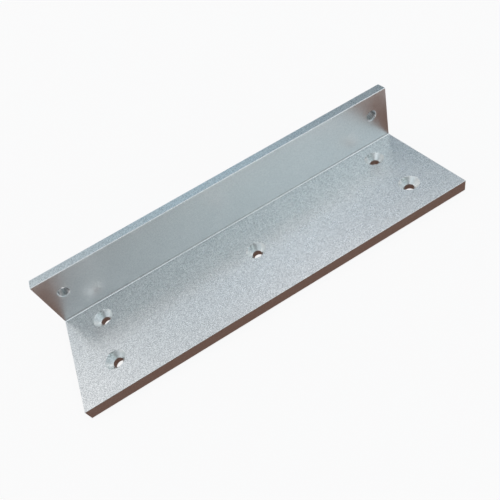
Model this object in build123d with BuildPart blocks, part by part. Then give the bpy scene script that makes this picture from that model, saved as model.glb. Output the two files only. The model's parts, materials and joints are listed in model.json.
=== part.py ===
from build123d import *
import os

# Angle bracket for a magnetic door lock.
#
# One cut length of extruded aluminium angle. The wide flange lies flat and takes five
# countersunk screws, with their heads on the inside of the angle. The short flange
# stands on its back edge and has a tapped hole near each end for the lock's own bolts.
#
# Frame: millimetres, +X along the angle, +Z up. The origin is the middle of the box's
# underside, so the wide flange's underside is at Z = 0, its free edge looks along -Y and
# the short flange's outer face looks along +Y.

# ---- driving dimensions ---------------------------------------------------------------

# extruded section
angle_length = 268.0  # sawn to the length of the lock's magnet
outer_width = 83.0  # wide flange, over the short flange's thickness
outer_height = 46.0  # short flange, over the wide flange's thickness
wall = 8.0  # both flanges
edge_radius = 0.4  # heel and top corners of the section
free_edge_radius = 0.2  # both corners of the wide flange's free edge, which is crisper
root_radius = 0.3  # inner corner, kept small so that the magnet's edge clears it
end_break = 0.15  # both sawn ends, deburred all round

# countersunk screw holes, through the wide flange
screw_bore = 6.4
screw_head_recess = 13.4
screw_recess_angle = 82.0
screw_end_inset = 25.0  # end of the angle to the nearest holes
screw_edge_inset = 22.7  # free edge to the front row
screw_row_gap = 36.8  # front row to back row

# tapped holes for the lock's bolts, through the short flange: M8, drilled at its core size
tap_core = 6.8
tap_mouth = 8.2
tap_mouth_angle = 90.0
tap_end_inset = 13.2  # end of the angle to the hole
tap_edge_inset = 15.4  # top edge of the short flange to the hole

# ---- places that follow from them -----------------------------------------------------

free_edge_y = -outer_width / 2
outer_face_y = outer_width / 2
inner_face_y = outer_face_y - wall
root_corner = (0, inner_face_y, wall)

screw_span = angle_length - 2 * screw_end_inset
screw_rows_y = free_edge_y + screw_edge_inset + screw_row_gap / 2
tap_span = angle_length - 2 * tap_end_inset
tap_z = outer_height - tap_edge_inset

# Planes of the drilled faces. Each looks out of its face, so a hole is cut into the wall.
wide_flange_top = Plane(origin=(0, screw_rows_y, wall), x_dir=(1, 0, 0), z_dir=(0, 0, 1))
short_flange_inner = Plane(origin=(0, inner_face_y, tap_z), x_dir=(1, 0, 0), z_dir=(0, -1, 0))
short_flange_outer = Plane(origin=(0, outer_face_y, tap_z), x_dir=(1, 0, 0), z_dir=(0, 1, 0))

# ---- the bracket ----------------------------------------------------------------------


def drill_screw_hole():
    """Cut one through hole with its head recess, at the current location."""
    CounterSinkHole(
        radius=screw_bore / 2,
        counter_sink_radius=screw_head_recess / 2,
        depth=wall,
        counter_sink_angle=screw_recess_angle,
    )


with BuildPart() as angle_bracket:
    # L section, drawn across the angle and extruded both ways from its middle
    with BuildSketch(Plane.YZ) as section:
        with BuildLine():
            Polyline(
                (free_edge_y, 0),
                (outer_face_y, 0),
                (outer_face_y, outer_height),
                (inner_face_y, outer_height),
                (inner_face_y, wall),
                (free_edge_y, wall),
                close=True,
            )
        make_face()
        corners = section.vertices().sort_by_distance(root_corner)
        free_edge = section.vertices().group_by(Axis.Y)[0]
        fillet(corners[1:] - free_edge, edge_radius)
        fillet(free_edge, free_edge_radius)
        fillet(corners[0], root_radius)
    extrude(amount=angle_length / 2, both=True)

    # deburred saw cuts
    sawn_ends = angle_bracket.faces().filter_by(Axis.X)
    chamfer(sawn_ends.edges(), end_break)

    # four corner holes on a rectangle, and a fifth in their middle
    with Locations(wide_flange_top):
        with GridLocations(screw_span, screw_row_gap, 2, 2):
            drill_screw_hole()
        with Locations((0, 0)):
            drill_screw_hole()

    # tapped through holes, chamfered at both mouths so that a bolt starts cleanly
    for drilled_face in (short_flange_inner, short_flange_outer):
        with Locations(drilled_face):
            with GridLocations(tap_span, 0, 2, 1):
                CounterSinkHole(
                    radius=tap_core / 2,
                    counter_sink_radius=tap_mouth / 2,
                    depth=wall,
                    counter_sink_angle=tap_mouth_angle,
                )

angle_bracket.part.label = "angle_bracket"

os.makedirs("parts", exist_ok=True)
export_step(angle_bracket.part, "parts/angle_bracket.step")
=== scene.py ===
"""Looks of the magnetic lock's angle bracket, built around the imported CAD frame.

The bracket is one piece of sand-blasted, clear anodised aluminium angle. Its finished mesh
takes the CAD node's place. It has the same section and holes, and differs in small things
only: M8 threads in the tapped holes, which are sharp at their far mouths, softened rims
round the countersunk recesses, and a larger root radius.

Everything is in metres, in the frame's own axes.
"""

import json
import math

import bmesh
import bpy
from mathutils import Matrix, Vector
from mathutils.geometry import tessellate_polygon

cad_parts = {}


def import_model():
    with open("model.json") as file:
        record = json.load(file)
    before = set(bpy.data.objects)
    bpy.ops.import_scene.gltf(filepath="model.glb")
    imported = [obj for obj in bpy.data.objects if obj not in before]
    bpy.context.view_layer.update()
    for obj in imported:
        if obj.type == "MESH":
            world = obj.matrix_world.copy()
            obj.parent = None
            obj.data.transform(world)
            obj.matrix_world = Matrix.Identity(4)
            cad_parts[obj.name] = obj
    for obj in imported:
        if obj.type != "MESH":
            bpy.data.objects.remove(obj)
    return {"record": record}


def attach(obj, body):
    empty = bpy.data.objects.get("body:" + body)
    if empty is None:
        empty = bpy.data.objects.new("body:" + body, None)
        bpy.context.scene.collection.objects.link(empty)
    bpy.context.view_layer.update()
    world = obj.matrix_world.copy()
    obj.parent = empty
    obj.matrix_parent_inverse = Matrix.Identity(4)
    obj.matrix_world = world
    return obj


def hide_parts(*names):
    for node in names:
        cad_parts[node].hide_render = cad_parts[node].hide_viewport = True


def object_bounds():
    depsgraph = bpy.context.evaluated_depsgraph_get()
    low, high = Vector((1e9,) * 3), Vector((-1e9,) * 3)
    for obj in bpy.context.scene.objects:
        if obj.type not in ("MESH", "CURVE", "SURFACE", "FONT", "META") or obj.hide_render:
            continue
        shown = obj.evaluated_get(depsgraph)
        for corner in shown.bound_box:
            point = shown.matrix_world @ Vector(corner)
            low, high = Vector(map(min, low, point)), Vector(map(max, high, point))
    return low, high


MM = 0.001

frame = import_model()
cad_low, cad_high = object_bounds()
mounts = {mount["name"]: mount for mount in frame["record"]["mounts"]}

# ---- sizes, read from the frame ---------------------------------------------------------

LENGTH = cad_high.x - cad_low.x
FREE_EDGE_Y = cad_low.y
OUTER_Y = cad_high.y
TOP_Z = cad_high.z
INNER_Y = mounts["lock_top_seat"]["pos_m"][1]
WALL = mounts["lock_back_seat"]["pos_m"][2]

CORNER_SCREWS = mounts["corner_screws"]
MIDDLE_SCREW = mounts["middle_screw"]
BORE_RADIUS = MIDDLE_SCREW["dims"]["r_mm"] * MM
BORE_LENGTH = MIDDLE_SCREW["dims"]["length_mm"] * MM  # under the recess
RECESS_ANGLE = 82  # degrees, all the way across the cone
RECESS_RADIUS = BORE_RADIUS + (WALL - BORE_LENGTH) * math.tan(math.radians(RECESS_ANGLE / 2))

LOCK_BOLTS = [mounts["lock_bolt_left"], mounts["lock_bolt_right"]]
CORE_RADIUS = LOCK_BOLTS[0]["dims"]["r_mm"] * MM
THREAD_LENGTH = LOCK_BOLTS[0]["dims"]["length_mm"] * MM
MOUTH_RADIUS = CORE_RADIUS + (WALL - THREAD_LENGTH) / 2  # CAD: 45 degree chamfers at both ends

# ---- details of the finished piece ------------------------------------------------------

EDGE_RADIUS = 0.4 * MM
FREE_EDGE_RADIUS = 0.2 * MM
ROOT_RADIUS = 0.9 * MM
END_RADIUS = 0.15 * MM
RIM_RADIUS = 0.35 * MM
SPECKLED_SIDE = math.radians(102)  # the side of each countersink that has dark speckles, from +X, seen from above

THREAD_PITCH = 1.25 * MM
THREAD_CREST = 3.32 * MM  # radii of an M8 thread
THREAD_BOTTOM = 4.0 * MM
CREST_HALF_WIDTH = 0.14  # of a pitch
FLANK_WIDTH = 0.29  # of a pitch

CORNER_STEPS = 6
END_STEPS = 4
RIM_STEPS = 3
HOLE_SIDES = 96
THREAD_ROWS_PER_PITCH = 16
MERGE_DISTANCE = 0.0001 * MM
SHARP_ANGLE = math.radians(32)

# The section's flat faces, each after the corner with its number in section().
FACES = ("under", "outer", "top", "inner", "upper", "free")

# Material slots. Faces that aren't named here have the even finish.
BLASTED, SATIN, EVEN, RECESS, BORE, THREAD = range(6)
FACE_MATERIALS = {"upper": BLASTED, "top": BLASTED, "inner": SATIN, "foot": SATIN, "free": SATIN}


# ---- the mesh ---------------------------------------------------------------------------


def quarter_turns(steps):
    """Angles from 0 to 90 degrees in equal steps."""
    return [math.radians(90 * step / steps) for step in range(steps + 1)]


def section(inset):
    """The L section's outline as (y, z) points, taken in by inset all round."""
    # each corner's place, the way to its centre, where its arc starts and its radius
    corners = [
        (FREE_EDGE_Y, 0, 1, 1, 180, FREE_EDGE_RADIUS),
        (OUTER_Y, 0, -1, 1, 270, EDGE_RADIUS),
        (OUTER_Y, TOP_Z, -1, -1, 0, EDGE_RADIUS),
        (INNER_Y, TOP_Z, 1, -1, 90, EDGE_RADIUS),
        (INNER_Y, WALL, -1, 1, 0, ROOT_RADIUS),
        (FREE_EDGE_Y, WALL, 1, -1, 90, FREE_EDGE_RADIUS),
    ]
    points = []
    for y, z, inward_y, inward_z, start, radius in corners:
        hollow = y == INNER_Y and z == WALL
        arc = radius + inset if hollow else radius - inset
        centre_y = y + inward_y * radius
        centre_z = z + inward_z * radius
        for turned in quarter_turns(CORNER_STEPS):
            angle = math.radians(start) + (-turned if hollow else turned)
            points.append((centre_y + arc * math.cos(angle), centre_z + arc * math.sin(angle)))
    return points


class Shell:
    """Collects the finished piece's faces by material and closes them into one mesh."""

    def __init__(self):
        self.bm = bmesh.new()
        self.along_hole = self.bm.verts.layers.float.new("along_hole")
        self.chatter = self.bm.verts.layers.float.new("chatter")

    def points(self, coordinates, along_hole=0.0, chatter=0.0):
        """Vertices, which in a hole know how far along it they are and, round it, how strongly the
        dark speckles show there."""
        made = [self.bm.verts.new(point) for point in coordinates]
        for i, vertex in enumerate(made):
            vertex[self.along_hole] = along_hole
            towards = math.cos(2 * math.pi * i / len(made) - SPECKLED_SIDE)
            vertex[self.chatter] = chatter * max(0.0, towards) ** 2
        return made

    def face(self, corners, material):
        """One face, shaded smooth."""
        made = self.bm.faces.new(corners)
        made.material_index = material
        made.smooth = True

    def band(self, ring, next_ring, material):
        """Faces between two closed rings of the same length."""
        for i in range(len(ring)):
            j = (i + 1) % len(ring)
            self.face((ring[i], ring[j], next_ring[j], next_ring[i]), material)

    def sheet(self, outline, holes, material):
        """A flat face with holes in it, from closed rings of vertices."""
        rings = [outline, *holes]
        vertices = [vertex for ring in rings for vertex in ring]
        for corners in tessellate_polygon([[vertex.co for vertex in ring] for ring in rings]):
            self.face([vertices[i] for i in corners], material)

    def finish(self, name):
        """The closed mesh, with its creases marked as sharp edges."""
        bmesh.ops.remove_doubles(self.bm, verts=self.bm.verts, dist=MERGE_DISTANCE)
        bmesh.ops.recalc_face_normals(self.bm, faces=self.bm.faces)
        for edge in self.bm.edges:
            edge.smooth = edge.calc_face_angle(0.0) < SHARP_ANGLE
        mesh = bpy.data.meshes.new(name)
        self.bm.to_mesh(mesh)
        self.bm.free()
        return mesh


def circle(centre, axis_a, axis_b, radius):
    """Points round a circle in the plane of two unit vectors."""
    step = 2 * math.pi / HOLE_SIDES
    return [
        centre + radius * (math.cos(i * step) * axis_a + math.sin(i * step) * axis_b)
        for i in range(HOLE_SIDES)
    ]


def countersunk_profile():
    """A screw hole's (radius, z) from its rounded rim down, and the material below each."""
    turn = math.radians(90 - RECESS_ANGLE / 2)
    rim_radius = RECESS_RADIUS + RIM_RADIUS * math.tan(turn / 2)
    profile = []
    for step in range(RIM_STEPS + 1):
        angle = turn * step / RIM_STEPS
        radius = rim_radius - RIM_RADIUS * math.sin(angle)
        profile.append((radius, WALL - RIM_RADIUS * (1 - math.cos(angle)), RECESS))
    profile.append((BORE_RADIUS, BORE_LENGTH, BORE))
    profile.append((BORE_RADIUS, 0.0, None))
    return profile


def countersunk_hole(shell, x, y):
    """One screw hole down through the wide flange. Returns its rings on the two faces."""
    profile = countersunk_profile()
    rings = []
    for radius, z, _ in profile:
        ring = circle(Vector((x, y, z)), Vector((1, 0, 0)), Vector((0, 1, 0)), radius)
        up_recess = max(0.0, (z - BORE_LENGTH) / (WALL - BORE_LENGTH))
        rings.append(shell.points(ring, along_hole=z, chatter=up_recess))
    for ring, next_ring, (_, _, material) in zip(rings, rings[1:], profile):
        shell.band(ring, next_ring, material)
    return rings[0], rings[-1]


def groove(phase):
    """How deep the M8 thread is at a phase from 0 to 1, as a share of its full depth."""
    from_crest = min(phase, 1 - phase) - CREST_HALF_WIDTH
    return min(1.0, max(0.0, from_crest / FLANK_WIDTH))


def tapped_hole(shell, x, z):
    """One M8 hole through the short flange, with its near mouth chamfered and its far one
    sharp, so that no light shows through at a slant. Returns its rings on the two faces."""
    rows = round(WALL / THREAD_PITCH * THREAD_ROWS_PER_PITCH)
    spokes = circle(Vector((0, 0, 0)), Vector((1, 0, 0)), Vector((0, 0, 1)), 1.0)
    rings = []
    for row in range(rows + 1):
        depth = WALL * row / rows
        ring = []
        for i, spoke in enumerate(spokes):
            phase = (depth / THREAD_PITCH + i / HOLE_SIDES) % 1
            thread = THREAD_CREST + (THREAD_BOTTOM - THREAD_CREST) * groove(phase)
            ring.append(Vector((x, INNER_Y + depth, z)) + max(MOUTH_RADIUS - depth, thread) * spoke)
        rings.append(shell.points(ring, along_hole=depth))
    chamfer_rows = round((MOUTH_RADIUS - CORE_RADIUS) / WALL * rows)
    for row in range(rows):
        shell.band(rings[row], rings[row + 1], BORE if row < chamfer_rows else THREAD)
    return rings[0], rings[-1]


def drill(shell):
    """All seven holes. Returns the rings that open on each of the four drilled faces."""
    reach_x = CORNER_SCREWS["dims"]["spacing_x_mm"] * MM / 2
    reach_y = CORNER_SCREWS["dims"]["spacing_y_mm"] * MM / 2
    row_y = CORNER_SCREWS["pos_m"][1]
    screws = [(a * reach_x, row_y + b * reach_y) for a in (-1, 1) for b in (-1, 1)]
    screws.append((MIDDLE_SCREW["pos_m"][0], MIDDLE_SCREW["pos_m"][1]))
    bolts = [(bolt["pos_m"][0], bolt["pos_m"][2]) for bolt in LOCK_BOLTS]
    upper, under = zip(*[countersunk_hole(shell, x, y) for x, y in screws])
    inner, outer = zip(*[tapped_hole(shell, x, z) for x, z in bolts])
    return {"under": under, "outer": outer, "inner": inner, "upper": upper}


def stations():
    """(x, inset) of the section along the bracket, for its left end and its right end. Each
    end is rounded, and the straight run lies between the two lists."""
    end = [
        (LENGTH / 2 - END_RADIUS * (1 - math.cos(angle)), END_RADIUS * (1 - math.sin(angle)))
        for angle in quarter_turns(END_STEPS)
    ]
    return [(-x, inset) for x, inset in end], end[::-1]


def named_faces():
    """The names of the section's faces, by the number of the point that each starts at. The
    foot is the upper half of the root's arc, which carries on the inner face."""
    corner_points = CORNER_STEPS + 1
    names = {i * corner_points + CORNER_STEPS: face for i, face in enumerate(FACES)}
    root = corner_points * (FACES.index("inner") + 1)
    return names | {root + step: "foot" for step in range(CORNER_STEPS // 2)}


def bracket_mesh():
    """The whole piece: the section along its stations, with the drilled holes between."""
    shell = Shell()
    openings = drill(shell)
    names = named_faces()
    left, right = stations()
    rings = [shell.points((x, y, z) for y, z in section(inset)) for x, inset in left + right]
    straight_run = len(left) - 1
    for k, (ring, next_ring) in enumerate(zip(rings, rings[1:])):
        for i in range(len(ring)):
            j = (i + 1) % len(ring)
            corners = (ring[i], ring[j], next_ring[j], next_ring[i])
            face = names.get(i)
            material = FACE_MATERIALS.get(face, EVEN)
            if k == straight_run and face in openings:
                shell.sheet(corners, openings[face], material)
            else:
                shell.face(corners, material)
    shell.sheet(rings[0], [], EVEN)
    shell.sheet(rings[-1], [], EVEN)
    return shell.finish("bracket_angle")


# ---- node trees -------------------------------------------------------------------------

NOISE_RANGE = (0.3, 0.7)  # what is stretched to 0 to 1, because noise seldom leaves it
PIT_RANGE = (0.4, 0.75)  # the same for the cells, so that many are all dark or all light


class Nodes:
    """A node tree, with short calls to add nodes and to join them."""

    def __init__(self, tree):
        self.tree = tree

    def put(self, socket, value):
        """Joins a socket to another node's output, or sets its number, vector or colour."""
        if isinstance(value, bpy.types.NodeSocket):
            self.tree.links.new(value, socket)
        elif socket.type == "RGBA":
            socket.default_value = (*value, 1)
        else:
            socket.default_value = value

    def add(self, kind, inputs=(), **settings):
        """A new node, with its settings, and its inputs by their names or numbers."""
        made = self.tree.nodes.new("ShaderNode" + kind)
        for setting, value in settings.items():
            setattr(made, setting, value)
        for name, value in dict(inputs).items():
            self.put(made.inputs[name], value)
        return made

    def math(self, operation, *inputs, **settings):
        """The result of one sum, product or other operation on numbers."""
        made = self.add("Math", enumerate(inputs), operation=operation, **settings)
        return made.outputs["Value"]

    def rescale(self, source, old_low, old_high, low=0.0, high=1.0):
        """A number that goes from low to high as source goes from old_low to old_high."""
        inputs = {"Value": source, "From Min": old_low, "From Max": old_high}
        inputs |= {"To Min": low, "To Max": high}
        return self.add("MapRange", inputs).outputs["Result"]

    def axes(self, vector):
        """A vector's X, Y and Z, to be picked by name."""
        return self.add("SeparateXYZ", {"Vector": vector}).outputs


class Paint(Nodes):
    """A procedural material."""

    def __init__(self, name, colour, roughness, metallic=1.0):
        self.material = bpy.data.materials.new(name)
        self.material.use_nodes = True
        super().__init__(self.material.node_tree)
        self.shader = self.tree.nodes["Principled BSDF"]
        self.set("Base Color", colour)
        self.set("Roughness", roughness)
        self.set("Metallic", metallic)
        self.place = self.add("TexCoord").outputs["Object"]

    def set(self, socket, value):
        """Sets or joins one of the shader's own sockets."""
        self.put(self.shader.inputs[socket], value)

    def surface(self, factor, first, second):
        """Replaces the plain shader by a mix of two, by a factor from 0 to 1."""
        mixed = self.add("MixShader", {0: factor, 1: first, 2: second})
        output = next(node for node in self.tree.nodes if node.type == "OUTPUT_MATERIAL")
        self.put(output.inputs["Surface"], mixed.outputs["Shader"])

    def attribute(self, name):
        """What the mesh stores under a name, such as the place along a hole."""
        return self.add("Attribute", attribute_name=name).outputs["Fac"]

    def noise(self, size, detail, place):
        """Soft noise from 0 to 1 whose lumps are about size metres across."""
        noise = self.add("TexNoise", {"Vector": place, "Scale": 1 / size, "Detail": detail})
        return self.rescale(noise.outputs["Fac"], *NOISE_RANGE)

    def pits(self, size):
        """Cells about size metres across: a random shade for each, and a dished height."""
        cells = self.add("TexVoronoi", {"Vector": self.place, "Scale": 1 / size})
        random = self.add("SeparateColor", {"Color": cells.outputs["Color"]}).outputs["Red"]
        return self.rescale(random, *PIT_RANGE), cells.outputs["Distance"]

    def blend(self, factor, first, second):
        """A colour from first to second as factor goes from 0 to 1."""
        mixed = self.add("Mix", data_type="RGBA")
        inputs = {socket.identifier: socket for socket in mixed.inputs}
        self.put(inputs["Factor_Float"], factor)
        self.put(inputs["A_Color"], first)
        self.put(inputs["B_Color"], second)
        return next(socket for socket in mixed.outputs if socket.identifier == "Result_Color")

    def bump(self, height, depth, normal=None):
        """A normal for relief of a depth in metres, on top of another bump if one is given."""
        inputs = {"Height": height, "Distance": depth}
        if normal:
            inputs["Normal"] = normal
        return self.add("Bump", inputs).outputs["Normal"]


# ---- materials --------------------------------------------------------------------------

BLASTED_ALUMINIUM = (0.84, 0.85, 0.86)
SATIN_ALUMINIUM = (0.93, 0.94, 0.95)
RECESS_ALUMINIUM = (0.97, 0.97, 0.96)
BORE_ALUMINIUM = (0.78, 0.78, 0.79)
# painted shade: the threads are darkened the way the inside of a hole is shaded
SHADED_THREAD_ALUMINIUM = (0.46, 0.47, 0.48)
BLACK = (0, 0, 0)

GRAIN_SIZE = 0.36 * MM
GRAIN_DEPTH = 0.010 * MM
GRAIN_DARK = 0.2  # how much darker and lighter than the colour the pits get
GRAIN_LIGHT = 0.24
PATCH_SIZE = 9 * MM
PATCH_DETAIL = 2.0
PATCH_ROUGHNESS = 0.02  # more or less, from patch to patch

RING_SIZE = 0.12 * MM
RING_DETAIL = 1.0
RING_DEPTH = 0.008 * MM
RING_SHADE = 0.92
TOOLED_GRAIN_DEPTH = 0.006 * MM
SPECKLE_SIZE = 0.8 * MM
SPECKLE_SHADE = 0.45

ROOT_SHADE = 0.6  # how much painted shade darkens the short flange at its foot
ROOT_SHADE_HEIGHT = 1.9 * MM
ROOT_SHADE_START = 0.1 * MM  # under the wide flange's face


def share(colour, factor):
    """A colour made darker or lighter by a factor."""
    return tuple(channel * factor for channel in colour)


def paint_root_shade(paint, colour):
    """Paints shade on the foot of the short flange, darkest in the corner with the wide flange.
    What lies lower, such as the free edge, keeps its colour."""
    height = paint.axes(paint.place)["Z"]
    near = paint.rescale(height, WALL + ROOT_SHADE_HEIGHT, WALL, 0, ROOT_SHADE)
    over = paint.rescale(height, WALL - ROOT_SHADE_START, WALL)
    return paint.blend(paint.math("MULTIPLY", near, over), colour, BLACK)


def blasted(name, colour, roughness, contrast, painted_foot_shade=False):
    """Sand-blasted and anodised: an even grain of shallow pits, some catching the light."""
    paint = Paint(name, colour, roughness)
    shade, height = paint.pits(GRAIN_SIZE)
    dark = share(colour, 1 - GRAIN_DARK * contrast)
    light = share(colour, 1 + GRAIN_LIGHT * contrast)
    grain = paint.blend(shade, dark, light)
    paint.set("Base Color", paint_root_shade(paint, grain) if painted_foot_shade else grain)
    patches = paint.noise(PATCH_SIZE, PATCH_DETAIL, paint.place)
    rough = (roughness - PATCH_ROUGHNESS, roughness + PATCH_ROUGHNESS)
    paint.set("Roughness", paint.rescale(patches, 0, 1, *rough))
    paint.set("Normal", paint.bump(height, GRAIN_DEPTH * contrast))
    return paint.material


def machined(name, colour, roughness, contrast):
    """Cut by a tool: rings round the hole under a trace of the same grain, and dark speckles on one
    side of each recess."""
    paint = Paint(name, colour, roughness)
    along = paint.add("CombineXYZ", {"Z": paint.attribute("along_hole")}).outputs["Vector"]
    rings = paint.noise(RING_SIZE, RING_DETAIL, along)
    shade, height = paint.pits(GRAIN_SIZE)
    grain = paint.blend(shade, share(colour, 1 - contrast), share(colour, 1 + contrast))
    turned = paint.blend(rings, share(colour, RING_SHADE), grain)
    marks, _ = paint.pits(SPECKLE_SIZE)
    marked = paint.math("MULTIPLY", paint.attribute("chatter"), marks)
    paint.set("Base Color", paint.blend(marked, turned, share(colour, SPECKLE_SHADE)))
    paint.set("Normal", paint.bump(height, TOOLED_GRAIN_DEPTH, paint.bump(rings, RING_DEPTH)))
    return paint.material


# ---- the bracket ------------------------------------------------------------------------


def place_bracket():
    """The finished piece in its six materials, in the CAD node's place."""
    bracket = bpy.data.objects.new("bracket_angle", bracket_mesh())
    bpy.context.scene.collection.objects.link(bracket)
    # name, colour, roughness and the grain's contrast, in the order of the material slots
    for material in (
        blasted("blasted_aluminium", BLASTED_ALUMINIUM, 0.28, 1.2),
        # the satin finish carries painted shade at the short flange's foot
        blasted("satin_aluminium", SATIN_ALUMINIUM, 0.33, 0.30, painted_foot_shade=True),
        blasted("even_aluminium", BLASTED_ALUMINIUM, 0.28, 0.45),
        machined("machined_recess", RECESS_ALUMINIUM, 0.32, 0.15),
        machined("drilled_bore", BORE_ALUMINIUM, 0.35, 0.06),
        # cut threads, their colour darkened by painted shade inside the hole
        machined("cut_thread", SHADED_THREAD_ALUMINIUM, 0.20, 0.06),
    ):
        bracket.data.materials.append(material)
    shading = bracket.modifiers.new("shading", "WEIGHTED_NORMAL")
    shading.keep_sharp = True
    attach(bracket, "root")
    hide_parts("angle_bracket")


# ---- floor and table --------------------------------------------------------------------

FLOOR_Z = -0.4 * MM  # just clear of the bracket's underside, as the card is
FLOOR_REACH = 3
FLOOR_COLOUR = (0.98, 0.92, 0.91)
FLOOR_ROUGHNESS = 0.9
FLOOR_WHITENESS = 0.86

CARD_Z = -0.2 * MM
CARD_REACH_X = 70 * MM
CARD_REACH_Y = 50 * MM
CARD_FADE = 12 * MM
TABLE_REFLECTION = (0.14, 0.08, 0.06)


def flat_stage(name, low_x, low_y, high_x, high_y, z):
    """A level rectangle that isn't part of the bracket."""
    mesh = bpy.data.meshes.new(name)
    corners = [(low_x, low_y, z), (high_x, low_y, z), (high_x, high_y, z), (low_x, high_y, z)]
    mesh.from_pydata(corners, [], [(0, 1, 2, 3)])
    made = bpy.data.objects.new(name, mesh)
    bpy.context.scene.collection.objects.link(made)
    return made


def seen_directly(paint):
    """1 for what the camera sees, straight or in metal and glass, and 0 for other light."""
    path = paint.add("LightPath").outputs
    total = path["Is Camera Ray"]
    for ray in ("Is Glossy Ray", "Is Transmission Ray"):
        total = paint.math("ADD", total, path[ray], use_clamp=True)
    return total


def floor():
    """Pale floor that takes the bracket's shadow, and is close to white where it is seen."""
    made = flat_stage("floor", -FLOOR_REACH, -FLOOR_REACH, FLOOR_REACH, FLOOR_REACH, FLOOR_Z)
    paint = Paint("floor", FLOOR_COLOUR, FLOOR_ROUGHNESS, metallic=0.0)
    paint.set("Specular IOR Level", 0.0)
    white = paint.add("Emission").outputs["Emission"]
    amount = paint.math("MULTIPLY", seen_directly(paint), FLOOR_WHITENESS)
    paint.surface(amount, paint.shader.outputs["BSDF"], white)
    made.data.materials.append(paint.material)


def table_card():
    """What the polished edges mirror: the brown table that the bracket lay on. Only metal
    shows it, and it fades out at its borders."""
    low_x, high_x = cad_low.x - CARD_REACH_X, cad_high.x + CARD_REACH_X
    low_y, high_y = cad_low.y - CARD_REACH_Y, cad_high.y
    made = flat_stage("table_card", low_x, low_y, high_x, high_y, CARD_Z)
    paint = Paint("table_card", TABLE_REFLECTION, 1.0)
    glow = paint.add("Emission", {"Color": TABLE_REFLECTION}).outputs["Emission"]
    clear = paint.add("BsdfTransparent").outputs["BSDF"]
    place = paint.axes(paint.place)
    cover = 1.0
    for axis, low, high in (("X", low_x, high_x), ("Y", low_y, high_y)):
        for border, inside in ((low, low + CARD_FADE), (high, high - CARD_FADE)):
            cover = paint.math("MULTIPLY", cover, paint.rescale(place[axis], border, inside))
    paint.surface(cover, clear, glow)
    made.data.materials.append(paint.material)
    made.visible_camera = False
    made.visible_diffuse = False
    made.visible_shadow = False


# ---- light ------------------------------------------------------------------------------

# Lights of the studio: azimuth and elevation in degrees, how tight, and colour. Azimuth 0
# is behind the bracket (+Y) and 90 is to its right (+X).
SOFT_LIGHTS = [
    (-120, 60, 9, (1.25, 1.25, 1.25)),  # high, on the left
    (-45, 45, 16, (0.85, 0.75, 0.70)),  # behind, on the left
    (105, 60, 10, (1.10, 1.10, 1.10)),  # high, on the right
    (25, 45, 12, (0.15, 0.38, 0.52)),  # behind, on the right, and cool
    (30, 60, 13, (0.55, 0.22, 0.05)),  # above that one, and warm
    (175, 2, 16, (3.2, 3.5, 3.2)),  # low, in front, where the horizon hides most of it
]
DARK_CORNERS = [(35, 20, 16, 0.9), (205, 30, 9, 0.8)]  # the same, with how dark it gets
BASE_LIGHT = (0.15, 0.25, 0.30)
HORIZON_FADE = (8, 26)  # degrees above the floor
HORIZON_LIGHT = 0.98


def toward(azimuth, elevation):
    """The unit vector in a direction that is given in degrees."""
    a, e = math.radians(azimuth), math.radians(elevation)
    return Vector((math.sin(a) * math.cos(e), math.cos(a) * math.cos(e), math.sin(e)))


class Sky(Nodes):
    """The world: sums and products of colours that depend on direction."""

    def __init__(self):
        self.world = bpy.data.worlds.new("studio")
        self.world.use_nodes = True
        super().__init__(self.world.node_tree)
        self.direction = self.add("TexCoord").outputs["Generated"]

    def vector(self, operation, first, second, output="Vector"):
        made = self.add("VectorMath", {0: first, 1: second}, operation=operation)
        return made.outputs[output]

    def plus(self, first, second):
        return self.vector("ADD", first, second)

    def times(self, first, second):
        return self.vector("MULTIPLY", first, second)

    def line(self, value, slope, offset):
        """value * slope + offset."""
        return self.math("MULTIPLY_ADD", value, slope, offset)

    def lobe(self, azimuth, elevation, tightness):
        """1 towards a direction, and smoothly 0 away from it."""
        centre = toward(azimuth, elevation)
        dot = self.vector("DOT_PRODUCT", self.direction, centre, output="Value")
        return self.math("EXPONENT", self.line(dot, tightness, -tightness))

    def above(self, low, high):
        """0 up to the elevation low, and 1 from high upwards."""
        height = self.axes(self.direction)["Z"]
        return self.rescale(height, math.sin(math.radians(low)), math.sin(math.radians(high)))


def world():
    """Soft lights and dark corners over a pale horizon, for the camera and the metal alike."""
    sky = Sky()
    total = BASE_LIGHT
    for azimuth, elevation, tightness, colour in SOFT_LIGHTS:
        total = sky.plus(sky.times(colour, sky.lobe(azimuth, elevation, tightness)), total)
    for azimuth, elevation, tightness, darkness in DARK_CORNERS:
        passed = sky.line(sky.lobe(azimuth, elevation, tightness), -darkness, 1.0)
        total = sky.times(total, passed)
    upper = sky.above(*HORIZON_FADE)
    pale = sky.line(upper, -HORIZON_LIGHT, HORIZON_LIGHT)
    total = sky.plus(sky.times(total, upper), pale)
    sky.put(sky.tree.nodes["Background"].inputs["Color"], total)
    bpy.context.scene.world = sky.world


# ---- camera -----------------------------------------------------------------------------

FOCAL_LENGTH = 32.08  # millimetres, as is the sensor's width
SENSOR_WIDTH = 36.0
CAMERA_PLACE = (-0.03655, -0.20268, 0.21884)
CAMERA_DIRECTION = (0.11353, 0.693, -0.71194)
CAMERA_ROLL = math.radians(-23.95)
NEAREST, FARTHEST = 0.01, 20.0


def camera():
    """Looks down at the bracket from in front of it, rolled to one side."""
    data = bpy.data.cameras.new("camera")
    data.lens = FOCAL_LENGTH
    data.sensor_width = SENSOR_WIDTH
    data.clip_start = NEAREST
    data.clip_end = FARTHEST
    made = bpy.data.objects.new("camera", data)
    bpy.context.scene.collection.objects.link(made)
    made.location = CAMERA_PLACE
    roll = Matrix.Rotation(CAMERA_ROLL, 3, "Z").to_quaternion()
    made.rotation_mode = "QUATERNION"
    made.rotation_quaternion = Vector(CAMERA_DIRECTION).to_track_quat("-Z", "Y") @ roll
    bpy.context.scene.camera = made


# ---- the scene --------------------------------------------------------------------------

place_bracket()
floor()
table_card()
world()
camera()
bpy.context.scene.view_settings.view_transform = "Standard"
